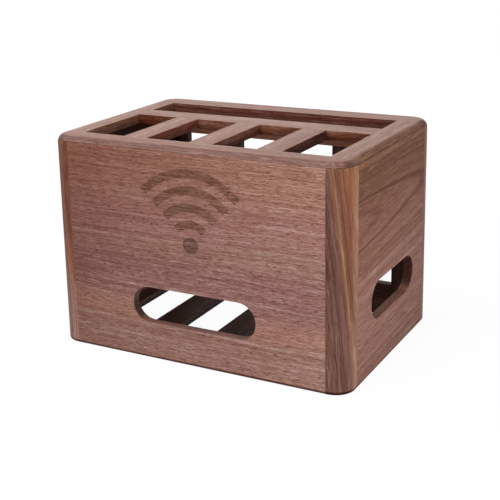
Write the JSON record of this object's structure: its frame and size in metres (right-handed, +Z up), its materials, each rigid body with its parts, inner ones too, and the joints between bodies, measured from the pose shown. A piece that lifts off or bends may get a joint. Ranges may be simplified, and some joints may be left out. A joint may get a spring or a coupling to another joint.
{
  "type": "router storage box",
  "caption": "Rectangular walnut box for a router, with rounded corner posts, long slots in the front and sides, an open barred back and floor, and a lift-off barred lid.",
  "frame": {"origin": "centre of the underside, on the surface that the box stands on", "axes": "+X to the right along the width, +Y to the back, +Z up; the slotted front faces -Y"},
  "size_m": [0.32, 0.228, 0.219],
  "materials": {
    "walnut_front": "oiled satin, level grain with fine ripple",
    "walnut_side": "oiled satin, slanting grain",
    "walnut_post": "oiled satin, upright grain with dark streaks",
    "walnut_lid": "oiled satin, pale on the upper faces, darker end grain",
    "walnut_inside": "oiled satin, plain grain"
  },
  "bodies": {
    "box": {"front_panel": "walnut_front", "left_panel": "walnut_side", "right_panel": "walnut_side", "front_left_post": "walnut_post", "front_right_post": "walnut_post", "back_left_post": "walnut_post", "back_right_post": "walnut_post", "back_left_stile": "walnut_inside", "back_right_stile": "walnut_inside", "back_top_rail": "walnut_inside", "back_bottom_rail": "walnut_inside", "back_bar_1": "walnut_inside", "back_bar_2": "walnut_inside", "back_bar_3": "walnut_inside", "floor_left_ledge": "walnut_inside", "floor_right_ledge": "walnut_inside", "floor_bar_1": "walnut_inside", "floor_bar_2": "walnut_inside", "floor_bar_3": "walnut_inside"},
    "lid": {"lid_front_rail": "walnut_lid", "lid_back_rail": "walnut_lid", "lid_left_rail": "walnut_lid", "lid_right_rail": "walnut_lid", "lid_mid_rail": "walnut_lid", "lid_bar_1": "walnut_lid", "lid_bar_2": "walnut_lid", "lid_bar_3": "walnut_lid"}
  },
  "joints": [
    {"name": "lid_lift", "type": "slide", "parent": "box", "child": "lid", "axis": [0, 0, 1], "range_m": [0, 0.24]}
  ]
}
